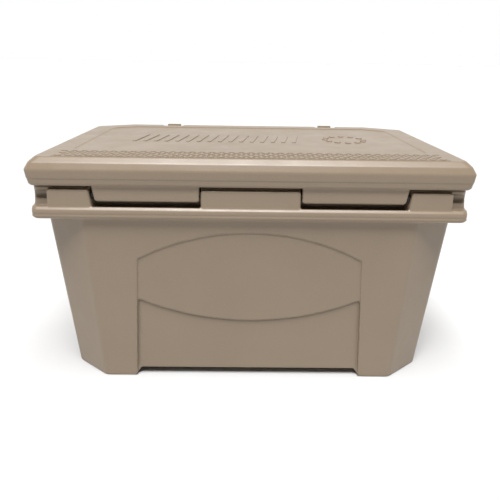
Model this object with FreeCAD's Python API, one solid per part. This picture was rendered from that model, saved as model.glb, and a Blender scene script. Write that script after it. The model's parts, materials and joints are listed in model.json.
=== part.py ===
"""Hard-sided cooler chest, moulded as two hollow foam-filled shells joined by a full-length rod hinge.

Millimetres. +X runs along the length, +Y points to the latch side, -Y to the hinge side, +Z is up.
The origin is on the floor under the centre of the chest's bounding box.
"""
import FreeCAD, Part
import math
import os

Vector = FreeCAD.Vector
X_AXIS, Y_AXIS, Z_AXIS = Vector(1, 0, 0), Vector(0, 1, 0), Vector(0, 0, 1)

# ---- driving dimensions -------------------------------------------------------------------------
# Lid
LID_HALF_X, LID_HALF_Y = 333.5, 206.5       # widest, at the shoulder
LID_BOTTOM_Z, LID_SHOULDER_Z, LID_TOP_Z = 334.5, 359.0, 377.0
LID_BOTTOM_INSET, LID_TOP_INSET = 5.8, 13.0
LID_HEEL_Z, LID_HEEL_INSET = 338.2, 3.4     # the bottom edge is eased up to here
LID_ROUND_Z, LID_ROUND_INSET = 369.5, 5.0   # the shoulder slope bulges a little on its way up
LID_PANEL_HALF_X, LID_PANEL_REAR, LID_PANEL_FRONT = 284.0, -140.0, 160.0
LID_PANEL_DEPTH, LID_PANEL_R = 1.6, 24.0    # shallow field in the lid's top
LID_STEP_Z, LID_STEP, LID_STEP_INSET = 343.5, 1.0, 2.0     # a fine moulded step along the side faces
LID_FRONT_CHAMFER = (76.0, 43.0)            # corner cut of the two front corners, along X and Y
LID_CORNER_R = 9.0
LID_SKIN = 4.0

# Body walls: two plan sizes joined by a straight draft
WALL_TOP_Z = 285.0
WALL_TOP_HALF = (320.0, 190.5)
WALL_BASE_HALF = (295.0, 166.5)
WALL_TOP_CHAMFER, WALL_BASE_CHAMFER = (65.5, 33.0), (58.0, 47.0)
WALL_CORNER_R = 14.0
SKIN = 4.0

# Rim: lip, its sloped top, and the narrower neck that carries the seal
LIP_UNDERSIDE_Z, LIP_BOTTOM_Z, LIP_SLOPE_Z, LIP_TOP_Z = 281.0, 287.0, 297.0, 302.0
LIP_HALF = (328.2, 201.2)
LIP_HEEL_Z, LIP_HEEL_INSET = 283.4, 2.4     # rounds the lip's lower edge
LIP_SLOPE_RUN = 4.0                         # how far the sloped top leans in along the hinge side
LIP_CORNER_R = 9.0
NECK_HALF_X, NECK_TOP_Z, NECK_CORNER_R = 329.0, 331.0, 12.0
NECK_REAR_Y, NECK_FRONT_Y = -188.5, 199.0
NECK_WAIST_Z, NECK_WAIST_INSET = 316.0, 0.8

# Tub
TUB_FLOOR_Z = 52.0
TUB_TOP_HALF, TUB_FLOOR_HALF = (272.0, 146.0), (248.0, 124.0)
TUB_CORNER_R, TUB_FLOOR_R = 40.0, 16.0
# The rounding from floor to wall as a quarter circle: shares of its radius, outwards and upwards
TUB_KNEE_STEPS = ((0.0, 0.0), (0.38, 0.076), (0.71, 0.29), (0.92, 0.62), (1.0, 1.0))

# Foam in the neck, kept inside the hinge pockets and the latch screws
NECK_FOAM_HALF_X, NECK_FOAM_REAR, NECK_FOAM_FRONT = 312.0, -164.0, 169.0
NECK_FOAM_CHAMFER, NECK_FOAM_R = (50.0, 28.0), 20.0

# Feet and the clear space between them
FOOT_BOTTOM_Z, UNDERSIDE_Z = 0.6, 12.5
FOOT_GAP_HALF_X, FOOT_GAP_HALF_Y, FOOT_GAP_SPREAD = 178.0, 88.0, 10.0
PAD_SIZE, PAD_THICK, PAD_CORNER_R = (38.0, 30.0), 4.2, 7.0
PAD_CENTRE = (222.0, 121.0)

# Arched recess panels: turn from the rear wall, half width at top and bottom, shoulder, peak, and the
# middle of the hanging arc that divides the shallow eye from the deeper lower part
PANEL_DEPTH, EYE_DEPTH = 5.5, 2.0
PANEL_BOTTOM_Z, HANG_END_Z = -20.0, 143.0
SHOULDER_R = 8.0                            # rounds the two upper corners of each panel
WALL_PANELS = (
    (0, 175.0, 186.0, 214.0, 260.0, 106.0),
    (180, 118.0, 126.0, 226.0, 247.0, 119.0),
    (90, 85.0, 90.0, 205.0, 226.0, 126.0),
    (270, 85.0, 90.0, 205.0, 226.0, 126.0),
)

# Hinge
HINGE_Y, HINGE_Z = -187.0, 318.5
ROD_R, ROD_HALF_LENGTH = 4.0, 294.0
BLOCK_REAR_Y, BLOCK_BOTTOM_Z, BLOCK_TOP_Z, BLOCK_ROUND = -197.5, 298.0, 328.8, 3.6
BLOCK_CENTRE_HALF = 75.3
SIDE_BLOCK_OUTER, SIDE_BLOCK_INNER_TOP, SIDE_BLOCK_INNER_BOTTOM = 304.2, 241.7, 237.2
TAB_INNER, TAB_OUTER_TOP, TAB_OUTER_BOTTOM = 76.8, 239.4, 233.4
TAB_REAR_Y, TAB_FRONT_Y, TAB_BOTTOM_Z, TAB_ROUND = -197.0, -177.5, 309.6, 3.2
POCKET_REAR_Y, POCKET_FRONT_Y = -195.5, -170.0
SLEEVE_R, RUNNING_CLEARANCE, FIT_GAP = 6.4, 0.06, 0.1
SLEEVE_INNER, SLEEVE_OUTER = 75.9, 239.0    # the sleeves stand out of the tabs and nearly reach the blocks
CAP_R, CAP_HEAD_R, CAP_HEAD = 4.0, 6.5, 1.6

# Lid plug and seal
PLUG_HALF, PLUG_BOTTOM_Z, PLUG_CORNER_R = (265.0, 139.0), 321.0, 34.0
SEAL_INNER_HALF, SEAL_WIDTH, SEAL_GAP, SEAL_GROOVE = (276.0, 150.0), 8.0, 0.4, 3.0

# Latches
LATCH_X = 166.0
LATCH_PIN_Y, LATCH_PIN_Z, LATCH_PIN_R = 197.0, 248.0, 3.0
LATCH_HALF_WIDTH, LATCH_GRIP_HALF, LATCH_FRONT_Y = 14.5, 28.0, 213.5
LATCH_SEAT_Y, LATCH_SEAT_HALF, LATCH_RECESS_BOTTOM_Z, LATCH_RECESS_R = 183.0, 25.0, 212.0, 10.0
KEEPER_FACE_Y, KEEPER_Z, KEEPER_POCKET_Y = 191.5, 356.0, 181.0
EAR_INNER, EAR_OUTER, EAR_R = 15.2, 19.5, 7.5
BRACKET_THICK, BRACKET_HALF_HEIGHT, BRACKET_R = 3.5, 23.0, 6.0
SCREW_R, SCREW_DEPTH, SCREW_HEAD_R, SCREW_HEAD, SCREW_SOCKET_R = 2.1, 11.0, 4.2, 2.0, 1.6
SCREW_BELOW_PIN, SCREW_ABOVE_PIN = 14.0, 15.0

# Side grip pockets, under the lip at both ends
GRIP_HALF_Y, GRIP_BOTTOM_Z, GRIP_DEPTH = 62.0, 240.0, 22.0
GRIP_LOW_R, GRIP_HIGH_R = 14.0, 3.0
POCKET_REACH = 60.0                         # how far a pocket's tool runs out, past every wall

# Drain, low in the +X wall
DRAIN_Y, DRAIN_Z, DRAIN_HOLE_R, DRAIN_BORE_R = 0.0, 60.0, 11.0, 7.5
DRAIN_SEAT_X, DRAIN_NUT_SEAT_X = 281.0, 240.0
DRAIN_POCKET_HALF, DRAIN_POCKET_Z, DRAIN_POCKET_R = (38.0, 34.0), 62.0, 16.0
SUMP_LENGTH, SUMP_HALF_Y, SUMP_BOTTOM_Z, SUMP_TOP_Z = 34.0, 20.0, 43.0, 80.0
CHANNEL_HALF_Y, CHANNEL_DEPTH, CHANNEL_START_X = 13.0, 6.0, -188.0
DRAIN_STEM_LENGTH = 12.0
WASHER_R, WASHER_THICK, FLANGE_R, FLANGE_THICK = 20.0, 1.6, 21.0, 3.4
NUT_R, NUT_THICK, NUT_CORNER_R = 16.0, 6.0, 2.5
HEAD_R, HEAD_THICK, BAR_HALF_LENGTH, BAR_HALF_WIDTH, BAR_HEIGHT = 14.0, 3.0, 13.0, 3.0, 7.0
FLANGE_X = DRAIN_SEAT_X + WASHER_THICK
PLUG_SEAT_X = FLANGE_X + FLANGE_THICK
PLUG_SEAL_R, PLUG_SEAL_THICK = 11.5, 1.6

# Foam filling holes in the underside
FILL_R, FILL_X = 12.0, 120.0

# The latches stand out past the lid, so the chest's box is not centred on the lid
FRONT_OVERHANG = LATCH_FRONT_Y - LID_HALF_Y
CENTRING = Vector(0, -FRONT_OVERHANG / 2, 0)
FAR = 1000.0


# ---- helpers ------------------------------------------------------------------------------------
def rounded_wire(points, radii):
    """A closed wire through the points, with every corner rounded to its radius."""
    count = len(points)
    arcs = []
    for i in range(count):
        corner = points[i]
        back = (points[i - 1] - corner).normalize()
        ahead = (points[(i + 1) % count] - corner).normalize()
        half_angle = back.getAngle(ahead) / 2
        reach = radii[i] / math.tan(half_angle)
        middle_out = (back + ahead).normalize() * (radii[i] / math.sin(half_angle) - radii[i])
        arcs.append((corner + back * reach, corner + middle_out, corner + ahead * reach))
    edges = []
    for i in range(count):
        start, middle, end = arcs[i]
        edges.append(Part.Arc(start, middle, end).toShape())
        edges.append(Part.LineSegment(end, arcs[(i + 1) % count][0]).toShape())
    return Part.Wire(edges)


def plan_wire(half_x, rear, front, rear_cut, front_cut, radius, z):
    """A plan outline at height z. A cut is a corner chamfer's (X, Y) size, or None for a square corner."""
    points = []
    corners = ((-1, rear, rear_cut), (1, rear, rear_cut), (1, front, front_cut), (-1, front, front_cut))
    for side_x, edge_y, cut in corners:
        side_y = 1 if edge_y > 0 else -1
        if cut is None:
            points.append(Vector(side_x * half_x, edge_y, z))
            continue
        on_side = Vector(side_x * half_x, edge_y - side_y * cut[1], z)
        on_edge = Vector(side_x * (half_x - cut[0]), edge_y, z)
        turn = side_x * side_y
        points.extend([on_side, on_edge] if turn > 0 else [on_edge, on_side])
    return rounded_wire(points, [radius] * len(points))


def loft(wires):
    return Part.makeLoft(wires, True, True)


def block(low, high):
    return Part.makeBox(high[0] - low[0], high[1] - low[1], high[2] - low[2], Vector(*low))


def prism(points, radii, direction):
    """A solid pushed from a rounded outline along a direction."""
    return Part.Face(rounded_wire(points, radii)).extrude(direction)


def sharp_prism(points, direction):
    """A solid pushed from an outline with sharp corners along a direction."""
    return Part.Face(Part.makePolygon(points + points[:1])).extrude(direction)


def rectangle_at_x(x, half_y, low_z, high_z):
    """The corners of an upright rectangle that faces along X."""
    corners = ((-half_y, low_z), (half_y, low_z), (half_y, high_z), (-half_y, high_z))
    return [Vector(x, y, z) for y, z in corners]


def rectangle_at_y(centre_x, half_x, y, low_z, high_z):
    """The corners of an upright rectangle that faces along Y."""
    corners = ((-half_x, low_z), (half_x, low_z), (half_x, high_z), (-half_x, high_z))
    return [Vector(centre_x + x, y, z) for x, z in corners]


def rod(radius, start, end):
    return Part.makeCylinder(radius, start.distanceToPoint(end), start, end - start)


def ring(outer, inner, start, end):
    return rod(outer, start, end).cut(rod(inner, start, end))


def mirror_x(shape):
    return shape.mirror(Vector(0, 0, 0), X_AXIS)


def turned_to_side(shape, side):
    """A feature made for the +X side, mirrored when side is -1."""
    return shape if side > 0 else mirror_x(shape)


def blend(low, high, share):
    return low + (high - low) * share


# ---- body envelope ------------------------------------------------------------------------------
def wall_wire(z, inset=0.0):
    """The drafted outer wall's outline at height z, moved inwards by inset."""
    share = z / WALL_TOP_Z
    half_x, half_y = (blend(WALL_BASE_HALF[i], WALL_TOP_HALF[i], share) - inset for i in (0, 1))
    chamfer = tuple(blend(WALL_BASE_CHAMFER[i], WALL_TOP_CHAMFER[i], share) - inset * 0.45 for i in (0, 1))
    return plan_wire(half_x, -half_y, half_y, chamfer, chamfer, WALL_CORNER_R, z)


def wall_block(low_z, high_z, inset=0.0):
    return loft([wall_wire(low_z, inset), wall_wire(high_z, inset)])


def rim_wire(half_x, rear, front, z, radius=LIP_CORNER_R):
    """A plan outline of the rim: square corners at the hinge side, cut corners at the latch side."""
    return plan_wire(half_x, rear, front, None, LID_FRONT_CHAMFER, radius, z)


def lip_and_neck():
    """The lip around the rim, its sloped top, and the neck above it, set back along the hinge."""
    under_half = [half - 2 for half in WALL_TOP_HALF]
    lip = [rim_wire(under_half[0], -under_half[1], under_half[1], LIP_UNDERSIDE_Z)]
    heel_x, heel_y = (half - LIP_HEEL_INSET for half in LIP_HALF)
    lip.append(rim_wire(heel_x, -heel_y, heel_y, LIP_HEEL_Z))
    lip += [rim_wire(LIP_HALF[0], -LIP_HALF[1], LIP_HALF[1], z) for z in (LIP_BOTTOM_Z, LIP_SLOPE_Z)]
    lip.append(rim_wire(NECK_HALF_X - NECK_WAIST_INSET, LIP_SLOPE_RUN - LIP_HALF[1], NECK_FRONT_Y, LIP_TOP_Z))
    neck_levels = ((LIP_TOP_Z - 1, 0.0), (NECK_WAIST_Z, NECK_WAIST_INSET), (NECK_TOP_Z, 0.0))
    neck = [
        rim_wire(NECK_HALF_X - inset, NECK_REAR_Y + inset, NECK_FRONT_Y - inset, z, NECK_CORNER_R)
        for z, inset in neck_levels
    ]
    return loft(lip).fuse(loft(neck))


def hinge_blocks():
    """Three blocks that stand on the lip behind the neck and carry the rod."""
    top_r, front_y = 4.0, NECK_REAR_Y + 8
    outlines = [
        ([-BLOCK_CENTRE_HALF, BLOCK_CENTRE_HALF], [-BLOCK_CENTRE_HALF, BLOCK_CENTRE_HALF]),
        ([SIDE_BLOCK_INNER_BOTTOM, SIDE_BLOCK_OUTER], [SIDE_BLOCK_INNER_TOP, SIDE_BLOCK_OUTER]),
    ]
    blocks = []
    for (low_left, low_right), (top_left, top_right) in outlines:
        points = [
            Vector(low_left, BLOCK_REAR_Y, BLOCK_BOTTOM_Z), Vector(low_right, BLOCK_REAR_Y, BLOCK_BOTTOM_Z),
            Vector(top_right, BLOCK_REAR_Y, BLOCK_TOP_Z), Vector(top_left, BLOCK_REAR_Y, BLOCK_TOP_Z),
        ]
        plain = prism(points, [0.5, 0.5, top_r, top_r], Vector(0, front_y - BLOCK_REAR_Y, 0))
        blocks.append(round_rear(plain, BLOCK_ROUND, BLOCK_BOTTOM_Z + 1, FAR))
    return blocks + [mirror_x(blocks[1])]


def round_rear(shape, radius, low_z, high_z):
    """Fillets the edges of a shape's rear face whose middles lie between two heights."""
    rear = shape.BoundBox.YMin + 0.01
    edges = [e for e in shape.Edges if e.BoundBox.YMax < rear and low_z < e.CenterOfMass.z < high_z]
    return shape.makeFillet(radius, edges)


def hinge_pockets():
    """Room for the two lid tabs, cut into the neck and down behind the lip's crest."""
    outline = (
        (BLOCK_CENTRE_HALF, BLOCK_BOTTOM_Z), (SIDE_BLOCK_INNER_BOTTOM, BLOCK_BOTTOM_Z),
        (SIDE_BLOCK_INNER_TOP, BLOCK_TOP_Z), (SIDE_BLOCK_INNER_TOP, LID_BOTTOM_Z),
        (BLOCK_CENTRE_HALF, LID_BOTTOM_Z),
    )
    corners = [Vector(x, POCKET_REAR_Y, z) for x, z in outline]
    pocket = sharp_prism(corners, Vector(0, POCKET_FRONT_Y - POCKET_REAR_Y, 0))
    return [pocket, mirror_x(pocket)]


# ---- features cut into the body -----------------------------------------------------------------
def arch_outline(half_top, half_bottom, shoulder_z, peak_z, margin=0.0):
    """An arched panel's face in the XZ plane: straight leaning sides and one arc over the top."""
    low_left = Vector(-half_bottom - margin, 0, PANEL_BOTTOM_Z)
    low_right = Vector(half_bottom + margin, 0, PANEL_BOTTOM_Z)
    right = Vector(half_top + margin, 0, shoulder_z + margin)
    left = Vector(-half_top - margin, 0, shoulder_z + margin)
    peak = Vector(0, 0, peak_z + margin)
    edges = [
        Part.LineSegment(low_left, low_right).toShape(), Part.LineSegment(low_right, right).toShape(),
        Part.Arc(right, peak, left).toShape(), Part.LineSegment(left, low_left).toShape(),
    ]
    return Part.Face(Part.Wire(edges))


def panel_tool(outline, shoulder_z=None):
    """A panel's outline drawn out along -Y, with its upper corners rounded where it has shoulders."""
    tool = outline.extrude(Vector(0, -FAR / 2, 0))
    if shoulder_z is None:
        return tool
    level = [e for e in tool.Edges if e.BoundBox.ZLength < 0.01]
    return tool.makeFillet(SHOULDER_R, [e for e in level if abs(e.CenterOfMass.z - shoulder_z) < 0.01])


def wall_panel(tool, angle, depth):
    """The space a panel takes out of a wall, down to depth below the drafted face.

    The tool faces -Y and is turned about Z by angle degrees to reach the other walls.
    """
    tool.rotate(Vector(0, 0, 0), Z_AXIS, angle)
    return tool.cut(wall_block(PANEL_BOTTOM_Z * 3, WALL_TOP_Z + 10, depth))


def wall_panels(margin=0.0, extra_depth=0.0):
    """A panel in each wall: a shallow eye above a deeper lower part that runs out under the wall."""
    panels = []
    for angle, half_top, half_bottom, shoulder_z, peak_z, hang_z in WALL_PANELS:
        eye = arch_outline(half_top, half_bottom, shoulder_z, peak_z, margin)
        lower = eye.common(arch_under(half_top, HANG_END_Z, hang_z, margin))
        panels.append(wall_panel(panel_tool(eye, shoulder_z + margin), angle, EYE_DEPTH + extra_depth))
        panels.append(wall_panel(panel_tool(lower), angle, PANEL_DEPTH + extra_depth))
    return panels


def arch_under(half, end_z, middle_z, margin):
    """The area below a hanging arc through (-half, end_z), (0, middle_z) and (half, end_z)."""
    reach = half + 30
    sag = (end_z - middle_z) * (reach / half) ** 2
    left, right = Vector(-reach, 0, middle_z + sag + margin), Vector(reach, 0, middle_z + sag + margin)
    middle = Vector(0, 0, middle_z + margin)
    low_left, low_right = Vector(-reach, 0, PANEL_BOTTOM_Z * 2), Vector(reach, 0, PANEL_BOTTOM_Z * 2)
    edges = [
        Part.Arc(left, middle, right).toShape(), Part.LineSegment(right, low_right).toShape(),
        Part.LineSegment(low_right, low_left).toShape(), Part.LineSegment(low_left, left).toShape(),
    ]
    return Part.Face(Part.Wire(edges))


def foot_gaps():
    """The two channels under the chest that leave the four corner feet standing."""
    channels = []
    for half, across, along in ((FOOT_GAP_HALF_X, X_AXIS, Y_AXIS), (FOOT_GAP_HALF_Y, Y_AXIS, X_AXIS)):
        start, below = along * -FAR / 2, Z_AXIS * -1
        top, spread = Z_AXIS * UNDERSIDE_Z, across * (half + FOOT_GAP_SPREAD)
        points = [start - spread + below, start + spread + below]
        points += [start + across * half + top, start - across * half + top]
        channels.append(sharp_prism(points, along * FAR))
    return channels


def grip_pockets(margin=0.0):
    """Hand holds in both end walls, closed above by the lip."""
    floor_x = blend(WALL_BASE_HALF[0], WALL_TOP_HALF[0], GRIP_BOTTOM_Z / WALL_TOP_Z) - GRIP_DEPTH - margin
    points = rectangle_at_x(floor_x, GRIP_HALF_Y + margin, GRIP_BOTTOM_Z - margin, LIP_UNDERSIDE_Z + 1)
    pocket = prism(points, [GRIP_LOW_R, GRIP_LOW_R, GRIP_HIGH_R, GRIP_HIGH_R], X_AXIS * POCKET_REACH)
    return [pocket, mirror_x(pocket)]


def latch_recesses(margin=0.0):
    """Flat-backed slots through the lip and the wall, one behind each latch."""
    seat = LATCH_SEAT_Y - margin
    low, high = LATCH_RECESS_BOTTOM_Z - margin, NECK_TOP_Z + 5
    points = rectangle_at_y(LATCH_X, LATCH_SEAT_HALF + margin, seat, low, high)
    recess = prism(points, [LATCH_RECESS_R, LATCH_RECESS_R, 1.0, 1.0], Y_AXIS * POCKET_REACH)
    return [recess, mirror_x(recess)]


def drain_pocket(margin=0.0):
    """The recess in the outer wall that keeps the drain plug from standing out."""
    half_y, half_z = (size + margin for size in DRAIN_POCKET_HALF)
    points = rectangle_at_x(DRAIN_SEAT_X - margin, half_y, DRAIN_POCKET_Z - half_z, DRAIN_POCKET_Z + half_z)
    return prism(points, [DRAIN_POCKET_R] * 4, X_AXIS * POCKET_REACH)


def along_drain(x):
    return Vector(x, DRAIN_Y, DRAIN_Z)


def tub_space(grow=0.0):
    """The inside of the tub, moved outwards by grow, open at the rim."""
    top_z = NECK_TOP_Z + 20
    rise = (top_z - TUB_FLOOR_Z) / (NECK_TOP_Z - TUB_FLOOR_Z)
    low_x, low_y = (TUB_FLOOR_HALF[i] + grow for i in (0, 1))
    top_x, top_y = (blend(TUB_FLOOR_HALF[i], TUB_TOP_HALF[i], rise) + grow for i in (0, 1))
    radius = TUB_CORNER_R + grow
    floor_z = TUB_FLOOR_Z - grow
    knee = TUB_FLOOR_R
    levels = []
    for share, lift in TUB_KNEE_STEPS:
        inset, z = knee * (1 - share), floor_z + knee * lift
        levels.append(plan_wire(low_x - inset, -low_y + inset, low_y - inset, None, None, radius - inset, z))
    levels.append(plan_wire(top_x, -top_y, top_y, None, None, radius, top_z))
    return loft(levels)


# ---- body pieces --------------------------------------------------------------------------------
def body_envelope():
    shape = wall_block(FOOT_BOTTOM_Z, LIP_UNDERSIDE_Z + 2).fuse(lip_and_neck())
    shape = shape.fuse(hinge_blocks())
    cuts = wall_panels() + foot_gaps() + grip_pockets() + latch_recesses() + hinge_pockets()
    return shape.cut(cuts + [drain_pocket()])


def foam_space():
    """The hollow between the outer wall and the tub."""
    lower = wall_block(UNDERSIDE_Z + SKIN, LIP_UNDERSIDE_Z - 2, SKIN)
    neck = loft([
        plan_wire(NECK_FOAM_HALF_X, NECK_FOAM_REAR, NECK_FOAM_FRONT, None, NECK_FOAM_CHAMFER, NECK_FOAM_R, z)
        for z in (LIP_UNDERSIDE_Z - 3, NECK_TOP_Z - SKIN)
    ])
    space = lower.fuse(neck)
    cuts = wall_panels(SKIN, SKIN) + grip_pockets(SKIN) + latch_recesses(SCREW_DEPTH + 1)
    cuts += [drain_pocket(SKIN), tub_space(SKIN), drain_core(SKIN), drain_sump(SKIN), drain_channel(SKIN)]
    return space.cut(cuts)


def drain_core(grow=0.0):
    """The hole through both skins, or with grow the plastic tube around it."""
    return rod(DRAIN_HOLE_R + grow, along_drain(TUB_FLOOR_HALF[0] - 20), along_drain(DRAIN_SEAT_X + 1))


def drain_sump(grow=0.0):
    """A flat-ended well in the tub floor that gives the ring nut a face to pull on."""
    low_corner = (TUB_FLOOR_HALF[0] - SUMP_LENGTH - grow, -SUMP_HALF_Y - grow, SUMP_BOTTOM_Z - grow)
    return block(low_corner, (DRAIN_NUT_SEAT_X + grow, SUMP_HALF_Y + grow, SUMP_TOP_Z + grow))


def drain_channel(grow=0.0):
    """A shallow groove along the tub floor that leads to the sump."""
    low_corner = (CHANNEL_START_X - grow, -CHANNEL_HALF_Y - grow, TUB_FLOOR_Z - CHANNEL_DEPTH - grow)
    return block(low_corner, (TUB_FLOOR_HALF[0] - SUMP_LENGTH + 4, CHANNEL_HALF_Y + grow, TUB_FLOOR_Z + SKIN))


def fill_holes(z_low, z_high):
    centres = (Vector(-FILL_X, 0, 0), Vector(FILL_X, 0, 0))
    return [rod(FILL_R, centre + Z_AXIS * z_low, centre + Z_AXIS * z_high) for centre in centres]


def pad(side_x, side_y, clearance=0.0):
    """A rounded rubber pad under one foot, or with clearance the seat it sits in."""
    centre = Vector(side_x * PAD_CENTRE[0], side_y * PAD_CENTRE[1], 0)
    half_x, half_y = (size / 2 + clearance for size in PAD_SIZE)
    corners = ((-half_x, -half_y), (half_x, -half_y), (half_x, half_y), (-half_x, half_y))
    return prism([centre + Vector(x, y, 0) for x, y in corners], [PAD_CORNER_R] * 4, Z_AXIS * PAD_THICK)


def rod_bore(radius, half_length):
    return rod(radius, Vector(-half_length, HINGE_Y, HINGE_Z), Vector(half_length, HINGE_Y, HINGE_Z))


def screw_places(side):
    heights = (LATCH_PIN_Z - SCREW_BELOW_PIN, LATCH_PIN_Z + SCREW_ABOVE_PIN)
    return [Vector(side * LATCH_X, LATCH_SEAT_Y, z) for z in heights]


def body_shell(foam):
    cuts = [foam, tub_space(), drain_core(), drain_sump(), drain_channel()]
    cuts += fill_holes(UNDERSIDE_Z - 1, UNDERSIDE_Z + SKIN + 1)
    cuts += [pad(sx, sy, FIT_GAP) for sx in (-1, 1) for sy in (-1, 1)]
    cuts += [rod_bore(ROD_R + RUNNING_CLEARANCE, SIDE_BLOCK_OUTER + 5)]
    for side in (-1, 1):
        head_seat = Vector(side * (SIDE_BLOCK_OUTER - CAP_HEAD), HINGE_Y, HINGE_Z)
        cuts.append(rod(CAP_HEAD_R + FIT_GAP, head_seat, head_seat + X_AXIS * side * POCKET_REACH))
        cuts += [rod(SCREW_R, place + Y_AXIS, place - Y_AXIS * SCREW_DEPTH) for place in screw_places(side)]
    return body_envelope().cut(cuts)


def body_fill_plugs():
    return Part.makeCompound(fill_holes(UNDERSIDE_Z, UNDERSIDE_Z + SKIN))


# ---- hinge pieces -------------------------------------------------------------------------------
def hinge_rod():
    return rod_bore(ROD_R, ROD_HALF_LENGTH)


def hinge_rod_cap(side):
    inner, outer = ROD_HALF_LENGTH + 0.5, SIDE_BLOCK_OUTER
    end = Vector(side * outer, HINGE_Y, HINGE_Z)
    stem = rod(CAP_R, Vector(side * inner, HINGE_Y, HINGE_Z), end)
    head = rod(CAP_HEAD_R, end - X_AXIS * side * CAP_HEAD, end)
    return stem.fuse(head)


def hinge_sleeve(side):
    start, end = (Vector(side * x, HINGE_Y, HINGE_Z) for x in (SLEEVE_INNER, SLEEVE_OUTER))
    return ring(SLEEVE_R, ROD_R + RUNNING_CLEARANCE, start, end)


# ---- lid ----------------------------------------------------------------------------------------
def lid_wire(inset, z):
    chamfer = tuple(leg - inset * 0.5 for leg in LID_FRONT_CHAMFER)
    half_y = LID_HALF_Y - inset
    return plan_wire(LID_HALF_X - inset, -half_y, half_y, None, chamfer, LID_CORNER_R, z)


def lid_outer():
    levels = (
        (LID_BOTTOM_INSET, LID_BOTTOM_Z), (LID_HEEL_INSET, LID_HEEL_Z),
        (LID_STEP_INSET + LID_STEP, LID_STEP_Z - LID_STEP / 2),
        (LID_STEP_INSET, LID_STEP_Z + LID_STEP / 2), (0.0, LID_SHOULDER_Z), (LID_ROUND_INSET, LID_ROUND_Z),
        (LID_TOP_INSET, LID_TOP_Z),
    )
    return loft([lid_wire(inset, z) for inset, z in levels])


def lid_field():
    """The shallow field in the lid's top, cut at the front corners like the lid itself."""
    return loft([
        plan_wire(LID_PANEL_HALF_X, LID_PANEL_REAR, LID_PANEL_FRONT, None, (44.0, 25.0), LID_PANEL_R, z)
        for z in (LID_TOP_Z - LID_PANEL_DEPTH, LID_TOP_Z + 5)
    ])


def lid_hollow():
    levels = (
        (LID_BOTTOM_INSET, LID_BOTTOM_Z + LID_SKIN), (0.0, LID_SHOULDER_Z - LID_SKIN / 3),
        (LID_TOP_INSET, LID_TOP_Z - LID_SKIN - LID_PANEL_DEPTH),
    )
    return loft([lid_wire(inset + LID_SKIN, z) for inset, z in levels])


def lid_plug(skin=0.0):
    half_x, half_y = PLUG_HALF[0] - skin, PLUG_HALF[1] - skin
    levels = ((6.0, PLUG_BOTTOM_Z + skin), (2.0, PLUG_BOTTOM_Z + skin + 4), (0.0, LID_BOTTOM_Z + skin + 1))
    return loft([
        plan_wire(half_x - inset, -half_y + inset, half_y - inset, None, None, PLUG_CORNER_R, z)
        for inset, z in levels
    ])


def lid_tabs():
    inner_r, outer_r, top_r, top_z = 4.2, 6.0, 4.2, LID_BOTTOM_Z + 6
    points = [
        Vector(TAB_INNER, TAB_REAR_Y, TAB_BOTTOM_Z), Vector(TAB_OUTER_BOTTOM, TAB_REAR_Y, TAB_BOTTOM_Z),
        Vector(TAB_OUTER_TOP, TAB_REAR_Y, top_z), Vector(TAB_INNER, TAB_REAR_Y, top_z),
    ]
    plain = prism(points, [inner_r, outer_r, top_r, top_r], Vector(0, TAB_FRONT_Y - TAB_REAR_Y, 0))
    tab = round_rear(plain, TAB_ROUND, 0, top_z - 1)
    return [tab, mirror_x(tab)]


def lid_notches(margin=0.0):
    """A slot in the lid's front edge for each latch, with a shelf that the latch hooks over."""
    half = LATCH_SEAT_HALF - 3 + margin
    notches = []
    for low_z, rear_y in ((LID_BOTTOM_Z - 2, KEEPER_FACE_Y), (KEEPER_Z, KEEPER_POCKET_Y)):
        low_corner = (LATCH_X - half, rear_y - margin, low_z - margin)
        notches.append(block(low_corner, (LATCH_X + half, FAR, LID_TOP_Z + 5)))
    return notches + [mirror_x(notch) for notch in notches]


def seal_ring(low_z, high_z):
    def seal_wire(grow, z):
        half_x, half_y = SEAL_INNER_HALF[0] + grow, SEAL_INNER_HALF[1] + grow
        return plan_wire(half_x, -half_y, half_y, None, None, PLUG_CORNER_R + 8 + grow, z)
    outer = loft([seal_wire(SEAL_WIDTH, z) for z in (low_z, high_z)])
    return outer.cut(loft([seal_wire(0.0, z) for z in (low_z - 1, high_z + 1)]))


def lid_foam_space():
    lower_z = LID_BOTTOM_Z + SEAL_GROOVE + LID_SKIN
    space = lid_hollow().common(block((-FAR, -FAR, lower_z), (FAR, FAR, FAR)))
    half_x, half_y = (half - LID_SKIN for half in PLUG_HALF)
    throat = loft([
        plan_wire(half_x, -half_y, half_y, None, None, PLUG_CORNER_R, z)
        for z in (LID_BOTTOM_Z + LID_SKIN, lower_z + 1)
    ])
    return space.fuse([lid_plug(LID_SKIN), throat]).cut(lid_notches(LID_SKIN))


def lid_shell(foam):
    shape = lid_outer().fuse([lid_plug()] + lid_tabs())
    cuts = lid_notches() + [foam, lid_field(), seal_ring(LID_BOTTOM_Z - 1, LID_BOTTOM_Z + SEAL_GROOVE)]
    cuts += fill_holes(PLUG_BOTTOM_Z - 1, PLUG_BOTTOM_Z + LID_SKIN + 1)
    cuts += [rod_bore(SLEEVE_R, TAB_OUTER_TOP + 5).cut(rod_bore(SLEEVE_R + 1, TAB_INNER - 2))]
    return shape.cut(cuts)


def lid_fill_plugs():
    return Part.makeCompound(fill_holes(PLUG_BOTTOM_Z, PLUG_BOTTOM_Z + LID_SKIN))


def lid_gasket():
    return seal_ring(NECK_TOP_Z + SEAL_GAP, LID_BOTTOM_Z + SEAL_GROOVE)


# ---- latches ------------------------------------------------------------------------------------
def pin_place(side, offset):
    return Vector(side * (LATCH_X + offset), LATCH_PIN_Y, LATCH_PIN_Z)


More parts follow.
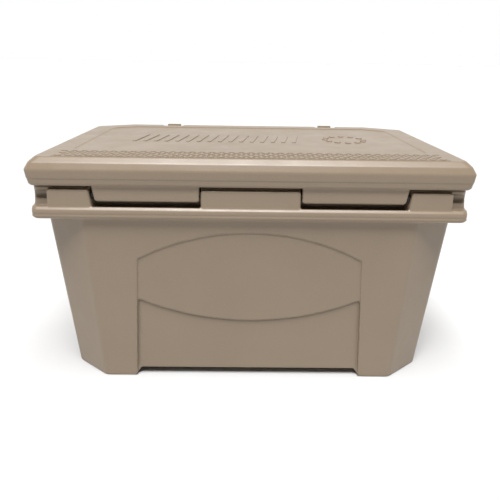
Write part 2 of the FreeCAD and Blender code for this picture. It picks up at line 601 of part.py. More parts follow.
def latch_bracket(side):
    """A base plate with two ears that hold the pin."""
    low, high = LATCH_PIN_Z - BRACKET_HALF_HEIGHT, LATCH_PIN_Z + BRACKET_HALF_HEIGHT
    points = rectangle_at_y(LATCH_X, LATCH_SEAT_HALF - 2, LATCH_SEAT_Y, low, high)
    shape = prism(points, [BRACKET_R] * 4, Y_AXIS * BRACKET_THICK)
    web_rear = LATCH_SEAT_Y + BRACKET_THICK - 1
    for inner, outer in ((EAR_INNER, EAR_OUTER), (-EAR_OUTER, -EAR_INNER)):
        eye = rod(EAR_R, pin_place(1, inner), pin_place(1, outer))
        low_corner = (LATCH_X + inner, web_rear, LATCH_PIN_Z - EAR_R)
        web = block(low_corner, (LATCH_X + outer, LATCH_PIN_Y, LATCH_PIN_Z + EAR_R))
        shape = shape.fuse([eye, web])
    holes = [rod(SCREW_R, place - Y_AXIS, place + Y_AXIS * (BRACKET_THICK + 1)) for place in screw_places(1)]
    holes.append(rod(LATCH_PIN_R, pin_place(1, -EAR_OUTER - 1), pin_place(1, EAR_OUTER + 1)))
    return turned_to_side(shape.cut(holes), side)


def latch_screws(side):
    screws = []
    for place in screw_places(side):
        under_head = place + Y_AXIS * BRACKET_THICK
        shank = rod(SCREW_R, place - Y_AXIS * SCREW_DEPTH, under_head)
        head = rod(SCREW_HEAD_R, under_head, under_head + Y_AXIS * SCREW_HEAD)
        socket = rod(SCREW_SOCKET_R, under_head + Y_AXIS, under_head + Y_AXIS * (SCREW_HEAD + 1))
        screws.append(shank.fuse(head).cut(socket))
    return Part.makeCompound(screws)


def latch_pin(side):
    return rod(LATCH_PIN_R, pin_place(side, -EAR_OUTER), pin_place(side, EAR_OUTER))


def latch(side):
    """A one-piece rubber latch: barrel, strap, hook over the lid's shelf, finger tab and cross grip."""
    barrel_r, strap_rear, strap_front = 6.6, 194.2, 200.6
    hook_tip_y, hook_low, hook_high, tab_top = 184.5, KEEPER_Z + 0.6, KEEPER_Z + 11.0, 379.5
    grip_low, grip_high, grip_rear, grip_round = 336.0, 351.0, 208.0, 2.4
    side_view = [
        (strap_rear, LATCH_PIN_Z), (strap_front, LATCH_PIN_Z), (strap_front, grip_low - 4),
        (LATCH_FRONT_Y - 2.5, grip_low), (LATCH_FRONT_Y, grip_low + 4), (LATCH_FRONT_Y, grip_high - 3),
        (LATCH_FRONT_Y - 4, grip_high + 2),
        (206.5, tab_top - 5), (203.5, tab_top), (199.0, hook_high + 2), (hook_tip_y + 3, hook_high),
        (hook_tip_y, hook_high - 4), (hook_tip_y, hook_low), (strap_rear, hook_low),
    ]
    radii = [1.0, 1.0, 4.0, 2.0, 2.0, 2.0, 3.0, 1.6, 1.2, 3.0, 2.0, 2.0, 1.5, 1.5]
    left = LATCH_X - LATCH_HALF_WIDTH
    points = [Vector(left, y, z) for y, z in side_view]
    shape = prism(points, radii, Vector(2 * LATCH_HALF_WIDTH, 0, 0))
    grip_corner = (LATCH_X - LATCH_GRIP_HALF, grip_rear, grip_low + 1)
    grip = block(grip_corner, (LATCH_X + LATCH_GRIP_HALF, LATCH_FRONT_Y, grip_high - 1))
    grip = grip.makeFillet(grip_round, grip.Edges)
    barrel = rod(barrel_r, pin_place(1, -LATCH_HALF_WIDTH), pin_place(1, LATCH_HALF_WIDTH))
    bore_half = LATCH_HALF_WIDTH + 1
    bore = rod(LATCH_PIN_R + RUNNING_CLEARANCE, pin_place(1, -bore_half), pin_place(1, bore_half))
    return turned_to_side(shape.fuse([barrel, grip]).cut(bore), side)


# ---- drain --------------------------------------------------------------------------------------
def drain_fitting():
    tube_start = along_drain(DRAIN_NUT_SEAT_X - NUT_THICK)
    tube = rod(DRAIN_HOLE_R - FIT_GAP, tube_start, along_drain(PLUG_SEAT_X - 1))
    flange = rod(FLANGE_R, along_drain(FLANGE_X), along_drain(PLUG_SEAT_X))
    return tube.fuse(flange).cut(rod(DRAIN_BORE_R, along_drain(0), along_drain(FAR)))


def drain_washer():
    return ring(WASHER_R, DRAIN_HOLE_R, along_drain(DRAIN_SEAT_X), along_drain(FLANGE_X))


def drain_nut():
    """A hexagonal ring nut on the tub side."""
    start = along_drain(DRAIN_NUT_SEAT_X - NUT_THICK)
    corners = []
    for i in range(6):
        angle = math.radians(60 * i)
        corners.append(start + Vector(0, NUT_R * math.cos(angle), NUT_R * math.sin(angle)))
    nut = prism(corners, [NUT_CORNER_R] * 6, X_AXIS * NUT_THICK)
    return nut.cut(rod(DRAIN_HOLE_R - FIT_GAP, start, along_drain(DRAIN_NUT_SEAT_X)))


def drain_plug():
    """A stem with a round head and a finger bar across it."""
    head_x = PLUG_SEAT_X + PLUG_SEAL_THICK
    face_x = head_x + HEAD_THICK
    stem_start = along_drain(PLUG_SEAT_X - DRAIN_STEM_LENGTH)
    stem = rod(DRAIN_BORE_R - RUNNING_CLEARANCE, stem_start, along_drain(head_x))
    head = rod(HEAD_R, along_drain(head_x), along_drain(face_x))
    bar_low, bar_high = DRAIN_Z - BAR_HALF_WIDTH, DRAIN_Z + BAR_HALF_WIDTH
    bar_outline = rectangle_at_x(face_x - 1, BAR_HALF_LENGTH, bar_low, bar_high)
    bar = prism(bar_outline, [BAR_HALF_WIDTH - 0.5] * 4, X_AXIS * (BAR_HEIGHT + 1))
    return stem.fuse([head, bar])


def drain_plug_seal():
    start = along_drain(PLUG_SEAT_X + FIT_GAP)
    return ring(PLUG_SEAL_R, DRAIN_BORE_R, start, along_drain(PLUG_SEAT_X + PLUG_SEAL_THICK - FIT_GAP))


# ---- output -------------------------------------------------------------------------------------
def save(name, shape):
    shape = shape.copy()
    shape.translate(CENTRING)
    solids = shape.Solids
    shape = solids[0] if len(solids) == 1 else Part.makeCompound(solids)
    shape.exportStep(os.path.join("parts", name + ".step"))
    volume = sum(solid.Volume for solid in solids) / 1000
    print(f"{name}: {len(solids)} solid(s), {volume:.1f} cm3, valid {shape.isValid()}")


def main():
    os.makedirs("parts", exist_ok=True)
    body_foam, lid_foam = foam_space(), lid_foam_space()
    pieces = {
        "body_shell": body_shell(body_foam),
        "body_foam": body_foam,
        "body_fill_plugs": body_fill_plugs(),
        "hinge_rod": hinge_rod(),
        "lid_shell": lid_shell(lid_foam),
        "lid_foam": lid_foam,
        "lid_fill_plugs": lid_fill_plugs(),
        "lid_gasket": lid_gasket(),
        "drain_fitting": drain_fitting(),
        "drain_washer": drain_washer(),
        "drain_nut": drain_nut(),
        "drain_plug": drain_plug(),
        "drain_plug_seal": drain_plug_seal(),
    }
    for side, side_name in ((-1, "left"), (1, "right")):
        pieces["hinge_rod_cap_" + side_name] = hinge_rod_cap(side)
        pieces["hinge_sleeve_" + side_name] = hinge_sleeve(side)
        pieces["latch_" + side_name] = latch(side)
        pieces["latch_bracket_" + side_name] = latch_bracket(side)
        pieces["latch_pin_" + side_name] = latch_pin(side)
        pieces["latch_screws_" + side_name] = latch_screws(side)
        for side_y, end_name in ((-1, "rear"), (1, "front")):
            pieces[f"foot_pad_{end_name}_{side_name}"] = pad(side, side_y)
    for name, shape in pieces.items():
        save(name, shape)


main()
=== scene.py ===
"""Looks for the cooler chest: softened moulded shells, rubber latches, moulded relief and materials.

Metres, in the CAD frame: +X along the length, +Y towards the latches, -Y the hinge side, +Z up.
"""
import json
import math
from collections import namedtuple

import bmesh
import bpy
import numpy as np
from mathutils import Matrix, Vector
from mathutils.bvhtree import BVHTree


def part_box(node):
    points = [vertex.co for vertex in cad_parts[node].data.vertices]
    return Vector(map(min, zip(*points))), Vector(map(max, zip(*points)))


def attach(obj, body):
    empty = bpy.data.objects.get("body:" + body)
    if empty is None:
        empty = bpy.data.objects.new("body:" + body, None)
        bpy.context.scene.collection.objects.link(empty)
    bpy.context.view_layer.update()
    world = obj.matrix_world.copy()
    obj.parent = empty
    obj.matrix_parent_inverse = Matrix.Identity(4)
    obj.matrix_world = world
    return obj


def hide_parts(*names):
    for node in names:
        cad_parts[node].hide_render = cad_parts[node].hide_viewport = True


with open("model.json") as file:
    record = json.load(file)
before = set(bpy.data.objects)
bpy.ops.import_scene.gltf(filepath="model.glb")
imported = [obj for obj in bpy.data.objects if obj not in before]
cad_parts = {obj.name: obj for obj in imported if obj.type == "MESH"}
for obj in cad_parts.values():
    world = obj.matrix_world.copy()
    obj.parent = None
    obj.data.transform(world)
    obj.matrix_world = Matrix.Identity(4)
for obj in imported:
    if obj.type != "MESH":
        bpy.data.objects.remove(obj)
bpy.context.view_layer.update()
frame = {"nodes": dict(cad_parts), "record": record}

MM = 0.001
NODES = frame["nodes"]


# ---- node materials -----------------------------------------------------------------------------
class Nodes:
    """A small helper for wiring a material's nodes."""

    NOISE_LOW, NOISE_HIGH = 0.3, 0.7        # most of a noise texture lies between these

    def __init__(self, name):
        self.material = bpy.data.materials.new(name)
        self.material.use_nodes = True
        self.tree = self.material.node_tree
        self.tree.nodes.clear()
        self.output = self.add("ShaderNodeOutputMaterial")
        self.shader = self.add("ShaderNodeBsdfPrincipled")
        self.wire(self.shader.outputs["BSDF"], self.output, "Surface")
        coords = self.add("ShaderNodeTexCoord")
        self.place = coords.outputs["Object"]

    def add(self, kind, **settings):
        node = self.tree.nodes.new(kind)
        for name, value in settings.items():
            setattr(node, name, value)
        return node

    def wire(self, socket, target, name):
        self.tree.links.new(socket, target.inputs[name])

    def feed(self, value, target):
        """Link a socket to an input, or set the input where the value is a colour or a number."""
        if hasattr(value, "is_linked"):
            self.tree.links.new(value, target)
        elif isinstance(value, tuple):
            target.default_value = (*value, 1.0)
        else:
            target.default_value = value

    def noise(self, scale, detail=3.0, roughness=0.5, stretch=None):
        node = self.add("ShaderNodeTexNoise")
        node.inputs["Scale"].default_value = scale
        node.inputs["Detail"].default_value = detail
        node.inputs["Roughness"].default_value = roughness
        source = self.place
        if stretch:
            mapping = self.add("ShaderNodeMapping")
            mapping.inputs["Scale"].default_value = stretch
            self.wire(source, mapping, "Vector")
            source = mapping.outputs["Vector"]
        self.wire(source, node, "Vector")
        return node.outputs["Fac"]

    def voronoi(self, scale):
        node = self.add("ShaderNodeTexVoronoi")
        node.inputs["Scale"].default_value = scale
        self.wire(self.place, node, "Vector")
        return node.outputs["Distance"]

    def remap(self, socket, low_in, high_in, low_out, high_out):
        node = self.add("ShaderNodeMapRange")
        node.inputs["From Min"].default_value = low_in
        node.inputs["From Max"].default_value = high_in
        node.inputs["To Min"].default_value = low_out
        node.inputs["To Max"].default_value = high_out
        self.wire(socket, node, "Value")
        return node.outputs["Result"]

    def spread(self, noise, low=0.0, high=1.0):
        """A noise stretched to run from low to high."""
        return self.remap(noise, self.NOISE_LOW, self.NOISE_HIGH, low, high)

    def times(self, first, second):
        node = self.add("ShaderNodeMath", operation="MULTIPLY")
        self.feed(first, node.inputs[0])
        self.feed(second, node.inputs[1])
        return node.outputs["Value"]

    def mix(self, share, first, second):
        """Colours mixed by a socket; first and second are colours or sockets."""
        node = self.add("ShaderNodeMix", data_type="RGBA")
        self.wire(share, node, "Factor")
        colours = [socket for socket in node.inputs if socket.type == "RGBA"]
        self.feed(first, colours[0])
        self.feed(second, colours[1])
        return next(socket for socket in node.outputs if socket.type == "RGBA")

    def bump(self, height, strength, distance, below=None):
        node = self.add("ShaderNodeBump")
        node.inputs["Strength"].default_value = strength
        node.inputs["Distance"].default_value = distance
        self.wire(height, node, "Height")
        if below is not None:
            self.wire(below, node, "Normal")
        return node.outputs["Normal"]

    def finish(self, colour, roughness, normal=None, **uniform):
        """Wire the shader, set its uniform inputs and return the material."""
        self.wire(colour, self.shader, "Base Color")
        self.wire(roughness, self.shader, "Roughness")
        if normal is not None:
            self.wire(normal, self.shader, "Normal")
        for name, value in uniform.items():
            self.shader.inputs[name.replace("_", " ")].default_value = value
        return self.material


def moulded_plastic(name, base, dark, light):
    """Matt rotationally moulded polyethylene: cloudy tone, fine pebble, paler rubbed edges."""
    m = Nodes(name)
    cloud = m.spread(m.noise(scale=7.0, detail=4.0, roughness=0.55))
    speck = m.remap(m.noise(scale=900.0, detail=2.0, roughness=0.6), 0.35, 0.65, 0.0, 1.0)
    tone = m.mix(cloud, dark, base)
    tone = m.mix(m.times(speck, 0.22), tone, light)
    geometry = m.add("ShaderNodeNewGeometry")
    edge = m.remap(geometry.outputs["Pointiness"], 0.52, 0.62, 0.0, 0.35)
    scuffs = m.remap(m.noise(scale=60.0, detail=4.0, roughness=0.7), 0.45, 0.7, 0.0, 1.0)
    tone = m.mix(m.times(edge, scuffs), tone, light)
    roughness = m.spread(m.noise(scale=25.0, detail=5.0, roughness=0.6), 0.33, 0.42)
    pebble = m.bump(m.noise(scale=420.0, roughness=0.55), strength=0.16, distance=0.6 * MM)
    waves = m.noise(scale=22.0, detail=2.0, roughness=0.4)
    surface = m.bump(waves, strength=0.10, distance=4 * MM, below=pebble)
    return m.finish(tone, roughness, surface, Specular_IOR_Level=0.58)


def matt_skin(name, base, light):
    """Rubber, or the near-black painted shade on the hinge rod and sleeves in the hinge gap."""
    m = Nodes(name)
    tone = m.mix(m.spread(m.noise(scale=40.0, detail=4.0)), base, light)
    roughness = m.spread(m.noise(scale=90.0), 0.55, 0.72)
    grain = m.bump(m.noise(scale=700.0), strength=0.2, distance=0.3 * MM)
    return m.finish(tone, roughness, grain, Specular_IOR_Level=0.35)


def hard_plastic(name, base, light):
    """Smooth injection-moulded plastic."""
    m = Nodes(name)
    tone = m.mix(m.spread(m.noise(scale=60.0)), base, light)
    roughness = m.spread(m.noise(scale=120.0, detail=4.0), 0.36, 0.5)
    grain = m.bump(m.noise(scale=1600.0, detail=2.0), strength=0.15, distance=0.2 * MM)
    return m.finish(tone, roughness, grain)


def steel(name, base, light):
    """Stainless steel with fine drawn lines along X."""
    m = Nodes(name)
    lines = m.noise(scale=900.0, roughness=0.6, stretch=(0.04, 1.0, 1.0))
    tone = m.mix(m.spread(lines), base, light)
    drawn = m.bump(lines, strength=0.1, distance=0.2 * MM)
    return m.finish(tone, m.spread(lines, 0.24, 0.4), drawn, Metallic=1.0)


def foam(name, base, light):
    """Rigid insulating foam with small round cells."""
    m = Nodes(name)
    cells = m.voronoi(scale=500.0)
    tone = m.mix(m.remap(cells, 0.0, 0.6, 0.0, 1.0), base, light)
    roughness = m.spread(m.noise(scale=50.0), 0.85, 0.95)
    return m.finish(tone, roughness, m.bump(cells, strength=0.4, distance=1 * MM))


SHELL = moulded_plastic(
    "taupe_moulded_plastic",
    base=(0.228, 0.172, 0.117), dark=(0.212, 0.159, 0.107), light=(0.30, 0.234, 0.168),
)
LATCH_RUBBER = matt_skin("latch_rubber_taupe", base=(0.205, 0.155, 0.106), light=(0.228, 0.174, 0.121))
SEAL_RUBBER = matt_skin("seal_rubber_black", base=(0.022, 0.021, 0.020), light=(0.035, 0.034, 0.033))
DARK_PLASTIC = hard_plastic("dark_brown_plastic", base=(0.052, 0.044, 0.037), light=(0.068, 0.059, 0.050))
STEEL = steel("stainless_steel", base=(0.50, 0.49, 0.47), light=(0.66, 0.65, 0.63))
# Painted shade: the steel hinge rod and the sleeves are coloured near-black so that they read as shade
# inside the hinge gap
HINGE_GAP_SHADE_BLACK = matt_skin("hinge_gap_painted_shade", base=(0.012, 0.011, 0.010), light=(0.022, 0.021, 0.020))
FOAM = foam("insulating_foam", base=(0.62, 0.52, 0.30), light=(0.80, 0.72, 0.50))
SLOT_MATERIALS = {
    "shell_plastic": SHELL, "latch_rubber": LATCH_RUBBER, "seal_rubber": SEAL_RUBBER,
    "dark_plastic": DARK_PLASTIC, "steel": STEEL, "foam": FOAM,
}
NODE_SLOT = {part["node"]: part["material_slot"] for part in frame["record"]["subparts"]}
BODIES = frame["record"]["behaviour"]["bodies"]
NODE_BODY = {node: body for body, members in BODIES.items() for node in members}


def paint(piece, slot):
    piece.data.materials.clear()
    piece.data.materials.append(SLOT_MATERIALS[slot])


for node_name, node_object in NODES.items():
    node_object.data.materials.clear()
    node_object.data.materials.append(SLOT_MATERIALS[NODE_SLOT[node_name]])
# The hinge rod and sleeves get near-black painted shade, so they stay dark in the shaded hinge gap
for in_hinge_gap in ("hinge_rod", "hinge_sleeve_left", "hinge_sleeve_right"):
    NODES[in_hinge_gap].data.materials[0] = HINGE_GAP_SHADE_BLACK


# ---- mesh helpers -------------------------------------------------------------------------------
TOUCHING = 0.06 * MM            # a shell's face nearer than this to its filling lines the hollow
WELD = 0.01 * MM
SEARCH_REACH = 1.0


def link(name, mesh):
    piece = bpy.data.objects.new(name, mesh)
    bpy.context.scene.collection.objects.link(piece)
    return piece


def apply_modifier(piece, kind, **settings):
    """Give the piece the mesh that one modifier makes of its own."""
    modifier = piece.modifiers.new(kind.lower(), kind)
    for name, value in settings.items():
        setattr(modifier, name, value)
    graph = bpy.context.evaluated_depsgraph_get()
    mesh = bpy.data.meshes.new_from_object(piece.evaluated_get(graph))
    piece.modifiers.clear()
    old = piece.data
    piece.data = mesh
    bpy.data.meshes.remove(old)


def even_normals(piece):
    """Smooth shading that keeps flat faces flat beside rounded edges."""
    piece.data.shade_smooth()
    apply_modifier(piece, "WEIGHTED_NORMAL", mode="FACE_AREA", weight=50)


def outer_skin(name, node, filling):
    """A copy of a hollow node without the walls of its hollow, which its filling touches."""
    mesh = NODES[node].data.copy()
    bm = bmesh.new()
    bm.from_mesh(mesh)
    inside = BVHTree.FromObject(NODES[filling], bpy.context.evaluated_depsgraph_get())
    hidden = []
    for face in bm.faces:
        samples = [v.co for v in face.verts] + [face.calc_center_median()]
        if all((inside.find_nearest(place, SEARCH_REACH)[3] or 0.0) < TOUCHING for place in samples):
            hidden.append(face)
    bmesh.ops.delete(bm, geom=hidden, context="FACES")
    bmesh.ops.remove_doubles(bm, verts=bm.verts, dist=WELD)
    holes = [e for e in bm.edges if e.is_boundary]
    bmesh.ops.holes_fill(bm, edges=holes, sides=0)
    bmesh.ops.recalc_face_normals(bm, faces=bm.faces)
    bm.to_mesh(mesh)
    bm.free()
    return link(name, mesh)


def carve_surface(piece, carve):
    """Push each vertex inwards along its normal by carve(places, normals), all as numpy arrays."""
    mesh = piece.data
    places = np.empty(len(mesh.vertices) * 3)
    normals = np.empty(len(mesh.vertices) * 3)
    mesh.vertices.foreach_get("co", places)
    mesh.vertices.foreach_get("normal", normals)
    places = places.reshape(-1, 3)
    normals = normals.reshape(-1, 3)
    places = places - normals * carve(places, normals)[:, None]
    mesh.vertices.foreach_set("co", places.ravel())
    mesh.update()


def soften(piece, voxel, passes, triangles, carve=None):
    """Round a piece's edges as a mould does: even remesh, relax, carve fine lines, thin out flat parts."""
    apply_modifier(piece, "REMESH", mode="VOXEL", voxel_size=voxel)
    apply_modifier(piece, "SMOOTH", factor=0.5, iterations=passes)
    if carve:
        carve_surface(piece, carve)
    share_kept = min(1.0, triangles / (2 * len(piece.data.polygons)))
    apply_modifier(piece, "DECIMATE", decimate_type="COLLAPSE", ratio=share_kept)
    even_normals(piece)


def moulded(node, voxel, passes, triangles, filling=None, carve=None):
    """A softened copy of a CAD node that replaces it."""
    name = "moulded_" + node
    if filling:
        piece = outer_skin(name, node, filling)
    else:
        piece = link(name, NODES[node].data.copy())
    soften(piece, voxel, passes, triangles, carve)
    paint(piece, NODE_SLOT[node])
    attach(piece, NODE_BODY[node])
    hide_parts(node)


def line_at(values, centre, half_width):
    """1 on a line, falling smoothly to 0 at half_width to either side."""
    share = np.clip(1 - np.abs(values - centre) / half_width, 0.0, 1.0)
    return share * share * (3 - 2 * share)


# ---- shells -------------------------------------------------------------------------------------
SHELL_VOXEL = 1.2 * MM
SHELL_PASSES = 5
SHELL_TRIANGLES = 130000
UPRIGHT = 0.5                   # a normal that rises less than this belongs to an upright face
LIP_LINE_Z, LIP_LINE_HALF, LIP_LINE_DEPTH = 0.2905, 2.2 * MM, 0.6 * MM
RIM_OUTSIDE_X, RIM_OUTSIDE_Y = 0.318, 0.192
LID_LINE_Z, LID_LINE_HALF, LID_LINE_DEPTH = 0.3445, 2.0 * MM, 0.7 * MM
WALLS_CENTRE_Y = -3.5 * MM      # midway between the chest's hinge side and latch side walls
SEAM_INSIDE, SEAM_HALF, SEAM_DEPTH, SEAM_LOW_Z = 1.2 * MM, 2.6 * MM, 0.9 * MM, 0.016
SEAM_FACING = 0.6               # how squarely a face looks a panel's way to carry its seams
# An arched panel: the way its wall faces, half widths at shoulder and base, and heights of the shoulder,
# the arch's peak and the middle of the hanging arc
Panel = namedtuple("Panel", "facing half_top half_base shoulder_z peak_z hang_z")
PANELS = (
    Panel((0, -1), half_top=0.175, half_base=0.186, shoulder_z=0.214, peak_z=0.260, hang_z=0.106),
    Panel((0, 1), half_top=0.118, half_base=0.126, shoulder_z=0.226, peak_z=0.247, hang_z=0.119),
    Panel((1, 0), half_top=0.085, half_base=0.090, shoulder_z=0.205, peak_z=0.226, hang_z=0.126),
    Panel((-1, 0), half_top=0.085, half_base=0.090, shoulder_z=0.205, peak_z=0.226, hang_z=0.126),
)
PANEL_BASE_Z, HANG_END_Z = -0.020, 0.143


def lip_line(places, normals):
    """A fine groove around the lip's outer face."""
    upright = np.abs(normals[:, 2]) < UPRIGHT
    outside = (np.abs(places[:, 0]) > RIM_OUTSIDE_X) | (np.abs(places[:, 1]) > RIM_OUTSIDE_Y)
    return LIP_LINE_DEPTH * line_at(places[:, 2], LIP_LINE_Z, LIP_LINE_HALF) * upright * outside


def outside_arc(across, up, half, end_z, middle_z):
    """How far points lie outside the arc through (-half, end_z), (0, middle_z) and (half, end_z)."""
    sag = end_z - middle_z
    radius = (half ** 2 + sag ** 2) / (2 * abs(sag))
    return np.hypot(across, up - middle_z - math.copysign(radius, sag)) - radius


def panel_seams(places, normals):
    """Fine grooves inside the outlines of the four arched panels and along their hanging arcs."""
    depth = np.zeros(len(places))
    up = places[:, 2]
    for panel in PANELS:
        face_x, face_y = panel.facing
        on_wall = normals[:, 0] * face_x + normals[:, 1] * face_y > SEAM_FACING
        across = np.abs(places[:, 0] * face_y + (places[:, 1] - WALLS_CENTRE_Y) * face_x)
        lean = (panel.half_base - panel.half_top) / (panel.shoulder_z - PANEL_BASE_Z)
        beside = across - panel.half_top - (panel.shoulder_z - up) * lean
        above = outside_arc(across, up, panel.half_top, panel.shoulder_z, panel.peak_z)
        outline = np.maximum(beside, above)
        hanging = outside_arc(across, up, panel.half_top, HANG_END_Z, panel.hang_z)
        seams = line_at(outline, -SEAM_INSIDE, SEAM_HALF)
        seams = np.maximum(seams, line_at(hanging, SEAM_INSIDE, SEAM_HALF) * (outline < 0))
        depth = np.maximum(depth, SEAM_DEPTH * seams * on_wall * (up > SEAM_LOW_Z))
    return depth


def body_lines(places, normals):
    return lip_line(places, normals) + panel_seams(places, normals)


def lid_line(places, normals):
    """A fine groove around the lid's face."""
    upright = np.abs(normals[:, 2]) < UPRIGHT
    return LID_LINE_DEPTH * line_at(places[:, 2], LID_LINE_Z, LID_LINE_HALF) * upright


moulded("body_shell", SHELL_VOXEL, SHELL_PASSES, SHELL_TRIANGLES, filling="body_foam", carve=body_lines)
moulded("lid_shell", SHELL_VOXEL, SHELL_PASSES, SHELL_TRIANGLES, filling="lid_foam", carve=lid_line)

# ---- latches and small parts --------------------------------------------------------------------
LATCH_VOXEL = 0.7 * MM
GRIP_LOW_Z, GRIP_HIGH_Z, GRIP_FACE_Y = 0.3385, 0.3495, 0.2075
GROOVE_PITCH, GROOVE_DEPTH, GROOVE_RUN_OUT, GROOVED_HALF = 6.4 * MM, 1.0 * MM, 2 * MM, 24.5 * MM
GRIP_FACING = 0.5               # how squarely a face looks along +Y to carry the grooves


def grip_grooves(centre_x):
    """Upright finger grooves across the front of a latch's grip bar."""
    def carve(places, normals):
        across = places[:, 0] - centre_x
        up = places[:, 2]
        on_face = (places[:, 1] > GRIP_FACE_Y) & (normals[:, 1] > GRIP_FACING)
        on_grip = on_face & (np.abs(across) < GROOVED_HALF)
        ends = np.clip(np.minimum(up - GRIP_LOW_Z, GRIP_HIGH_Z - up) / GROOVE_RUN_OUT, 0.0, 1.0)
        wave = 0.5 + 0.5 * np.cos(across / GROOVE_PITCH * 2 * math.pi)
        return GROOVE_DEPTH * wave * wave * ends * on_grip
    return carve


for side in ("left", "right"):
    low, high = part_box("latch_" + side)
    grooves = grip_grooves((low.x + high.x) / 2)
    moulded("latch_" + side, LATCH_VOXEL, passes=3, triangles=24000, carve=grooves)
    moulded("latch_bracket_" + side, voxel=0.6 * MM, passes=3, triangles=9000)
    moulded("hinge_rod_cap_" + side, voxel=0.4 * MM, passes=3, triangles=3000)
    for end in ("front", "rear"):
        moulded(f"foot_pad_{end}_{side}", voxel=0.8 * MM, passes=3, triangles=2500)
moulded("drain_fitting", voxel=0.5 * MM, passes=2, triangles=8000)
moulded("drain_plug", voxel=0.4 * MM, passes=3, triangles=9000)
moulded("drain_nut", voxel=0.5 * MM, passes=3, triangles=4000)
moulded("drain_plug_seal", voxel=0.35 * MM, passes=2, triangles=4000)
moulded("lid_gasket", voxel=1.0 * MM, passes=4, triangles=16000)

# ---- raised mouldings on the lid ----------------------------------------------------------------
LID_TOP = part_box("lid_shell")[1].z
FIELD_DEPTH = 1.6 * MM          # how far the field in the lid's top is sunk
RELIEF_FOOT = 0.6 * MM          # how deep the foot of a raised shape sits in the lid
RELIEF_PROFILE = ((0.0, 0.35), (0.35, 0.8), (1.0, 1.0))     # shares of the lean and of the rise
BAND_HALF_LENGTH, BAND_PITCH, BAND_COLUMNS = 0.296, 15.2 * MM, 20
BAND_ROWS = (-0.1845, -0.1735, -0.1625, -0.1515)
LOZENGE_HALF = (6.1 * MM, 4.3 * MM)
LOZENGE_POWER = 1.5             # 1 would be an ellipse, and 2 a straight-sided lozenge
RAIL_Y, RAIL_HALF_WIDTH = (-0.1925, -0.1455), 0.8 * MM
RIB_START_X, RIB_STEP, RIB_COUNT, RIB_SLANT = -0.207, 19.0 * MM, 16, 11.0 * MM
RIB_LOW_Y, RIB_HIGH_Y, RIB_HALF_WIDTH = -0.028, 0.046, 3.4 * MM
RING_CENTRE, RING_MIDDLE, RING_DOTS = (0.176, 0.012), (36.0 * MM, 38.0 * MM), 12
RING_DOT_HALF = (6.0 * MM, 7.5 * MM)


def raised(bm, outline, base_z, rise, lean):
    """A low raised shape: an outline of (x, y), drawn in by lean towards its top."""
    middle = np.mean(outline, axis=0)
    reach = max(np.linalg.norm(np.array(outline) - middle, axis=1))
    levels = [(0.0, -RELIEF_FOOT)]
    levels += [(lean * inwards, rise * upwards) for inwards, upwards in RELIEF_PROFILE]
    loops = []
    for inset, lift in levels:
        share = 1 - inset / reach
        ring = [middle + (np.array(p) - middle) * share for p in outline]
        loops.append([bm.verts.new((x, y, base_z + lift)) for x, y in ring])
    count = len(outline)
    for below, above in zip(loops, loops[1:]):
        for i in range(count):
            following = (i + 1) % count
            bm.faces.new((below[i], below[following], above[following], above[i]))
    bm.faces.new(loops[-1])
    bm.faces.new(loops[0][::-1])


def relief(name, outlines, base_z, rise, lean):
    """Several raised shapes as one piece that rides on the lid."""
    bm = bmesh.new()
    for outline in outlines:
        raised(bm, outline, base_z, rise, lean)
    mesh = bpy.data.meshes.new(name)
    bm.to_mesh(mesh)
    bm.free()
    piece = link(name, mesh)
    even_normals(piece)
    paint(piece, "shell_plastic")
    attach(piece, "lid")


def lozenge(x, y, half_x, half_y, corners=16):
    """A rounded lozenge outline, counter-clockwise."""
    points = []
    for i in range(corners):
        angle = 2 * math.pi * i / corners
        c, s = math.cos(angle), math.sin(angle)
        out_x = math.copysign(abs(c) ** LOZENGE_POWER, c)
        out_y = math.copysign(abs(s) ** LOZENGE_POWER, s)
        points.append((x + half_x * out_x, y + half_y * out_y))
    return points


def bar(start, end, half_width, corners=6):
    """A bar with round ends, counter-clockwise."""
    start, end = np.array(start), np.array(end)
    run_x, run_y = end - start
    heading = math.atan2(run_y, run_x)
    points = []
    for centre, first in ((end, heading - math.pi / 2), (start, heading + math.pi / 2)):
        for i in range(corners + 1):
            angle = first + math.pi * i / corners
            points.append(tuple(centre + half_width * np.array((math.cos(angle), math.sin(angle)))))
    return points


def relief_band():
    """Staggered rows of small lozenges beside the hinge edge."""
    lozenges = []
    for row, y in enumerate(BAND_ROWS):
        offset = BAND_PITCH / 2 if row % 2 else 0.0
        for i in range(-BAND_COLUMNS, BAND_COLUMNS + 1):
            x = i * BAND_PITCH + offset
            if abs(x) < BAND_HALF_LENGTH:
                lozenges.append(lozenge(x, y, *LOZENGE_HALF))
    relief("lid_relief_band", lozenges, LID_TOP, rise=1.0 * MM, lean=1.6 * MM)


def relief_rails():
    """A thin rail along each side of the band."""
    rails = [bar((-BAND_HALF_LENGTH, y), (BAND_HALF_LENGTH, y), RAIL_HALF_WIDTH) for y in RAIL_Y]
    relief("lid_relief_rails", rails, LID_TOP, rise=0.6 * MM, lean=0.5 * MM)


def slanted_ribs():
    """Parallel slanted ribs in the lid's sunk field."""
    ribs = []
    for i in range(RIB_COUNT):
        x = RIB_START_X + i * RIB_STEP
        ribs.append(bar((x, RIB_LOW_Y), (x + RIB_SLANT, RIB_HIGH_Y), RIB_HALF_WIDTH))
    relief("lid_slanted_ribs", ribs, LID_TOP - FIELD_DEPTH, rise=1.2 * MM, lean=1.2 * MM)


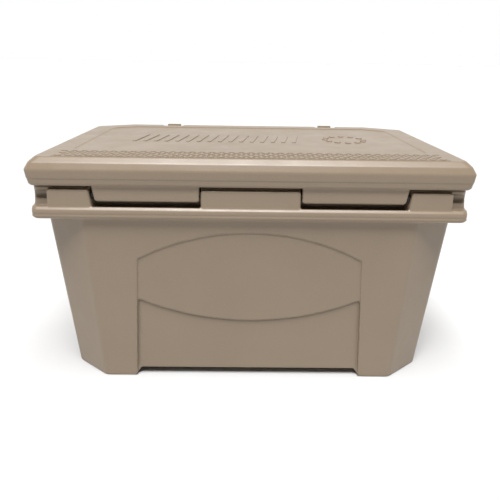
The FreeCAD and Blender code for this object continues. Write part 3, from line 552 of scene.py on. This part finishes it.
def dot_ring():
    """A ring of rounded dots in the lid's sunk field."""
    dots = []
    for i in range(RING_DOTS):
        angle = 2 * math.pi * i / RING_DOTS
        spoke = np.array((math.cos(angle) * RING_MIDDLE[0], math.sin(angle) * RING_MIDDLE[1]))
        dots.append(lozenge(*(np.array(RING_CENTRE) + spoke), *RING_DOT_HALF))
    relief("lid_dot_ring", dots, LID_TOP - FIELD_DEPTH, rise=1.5 * MM, lean=1.8 * MM)


relief_band()
relief_rails()
slanted_ribs()
dot_ring()

# ---- stage, lights and camera -------------------------------------------------------------------
FLOOR_REACH = 60.0
BACKDROP_WHITE, OVERHEAD_DIM = 1.0, 0.06
# Between these heights of the viewing direction the white gives way to the dim overhead
FADE_BEHIND, FADE_IN_FRONT = (0.50, 0.70), (0.05, 0.12)
FRONT_TO_BEHIND = (-0.25, 0.15)


def studio_floor():
    """A plain pale floor, far wider than the view."""
    mesh = bpy.data.meshes.new("floor")
    corners = [(x * FLOOR_REACH, y * FLOOR_REACH, 0) for x, y in ((-1, -1), (1, -1), (1, 1), (-1, 1))]
    mesh.from_pydata(corners, [], [(0, 1, 2, 3)])
    floor = link("floor", mesh)
    pale = Nodes("studio_floor")
    tint = pale.mix(pale.spread(pale.noise(scale=3.0)), (0.57, 0.57, 0.57), (0.59, 0.59, 0.59))
    mesh.materials.append(pale.finish(tint, pale.spread(pale.noise(scale=5.0), 0.8, 0.9)))


def studio_world():
    """White backdrop behind and beside the chest, only a low white band in front of it, dim overhead."""
    world = bpy.data.worlds.new("studio")
    bpy.context.scene.world = world
    world.use_nodes = True
    nodes, links = world.node_tree.nodes, world.node_tree.links
    direction = nodes.new("ShaderNodeTexCoord")
    split = nodes.new("ShaderNodeSeparateXYZ")
    links.new(direction.outputs["Generated"], split.inputs["Vector"])

    def ramp(axis, span, value_before, value_after):
        node = nodes.new("ShaderNodeMapRange")
        node.inputs["From Min"].default_value = span[0]
        node.inputs["From Max"].default_value = span[1]
        node.inputs["To Min"].default_value = value_before
        node.inputs["To Max"].default_value = value_after
        links.new(split.outputs[axis], node.inputs["Value"])
        return node.outputs["Result"]

    blend = nodes.new("ShaderNodeMix")
    links.new(ramp("Y", FRONT_TO_BEHIND, 0.0, 1.0), blend.inputs["Factor"])
    links.new(ramp("Z", FADE_IN_FRONT, BACKDROP_WHITE, OVERHEAD_DIM), blend.inputs["A"])
    links.new(ramp("Z", FADE_BEHIND, BACKDROP_WHITE, OVERHEAD_DIM), blend.inputs["B"])
    links.new(blend.outputs["Result"], nodes["Background"].inputs["Strength"])
    nodes["Background"].inputs["Color"].default_value = (1.0, 1.0, 1.0, 1.0)


def sun(name, comes_from, spread, strength):
    """A soft directional light; spread is the angle that its disc spans, in degrees."""
    light = bpy.data.lights.new(name, "SUN")
    light.angle = math.radians(spread)
    light.energy = strength
    lamp = bpy.data.objects.new(name, light)
    bpy.context.scene.collection.objects.link(lamp)
    lamp.rotation_euler = Vector(comes_from).to_track_quat("Z", "Y").to_euler()


studio_floor()
studio_world()
sun("high_softbox", comes_from=(0.0, -0.35, 1.0), spread=36.0, strength=4.1)
sun("front_key", comes_from=(-0.25, -1.0, 1.8), spread=18.0, strength=1.4)

CAMERA_PLACE = Vector((-10.7, -943.4, 520.5)) * MM
CAMERA_YAW, CAMERA_PITCH, CAMERA_ROLL = -0.012, 0.221, 0.015    # radians
SENSOR, LENS, SHIFT_Y = 36.0, 37.14, -0.15
LEVEL_AXES = Matrix(((1, 0, 0), (0, 0, -1), (0, 1, 0)))         # right, down and forward, looking along +Y


def place_camera():
    data = bpy.data.cameras.new("camera")
    data.sensor_width = SENSOR
    data.lens = LENS
    data.shift_y = SHIFT_Y
    camera = bpy.data.objects.new("camera", data)
    bpy.context.scene.collection.objects.link(camera)
    roll = Matrix.Rotation(CAMERA_ROLL, 3, "Z")
    pitch = Matrix.Rotation(CAMERA_PITCH, 3, "X")
    yaw = Matrix.Rotation(CAMERA_YAW, 3, "Y")
    right, down, forward = roll @ pitch @ yaw @ LEVEL_AXES
    facing = Matrix((right, -down, -forward)).transposed()
    camera.matrix_world = Matrix.Translation(CAMERA_PLACE) @ facing.to_4x4()
    bpy.context.scene.camera = camera


place_camera()
bpy.context.scene.view_settings.view_transform = "Standard"
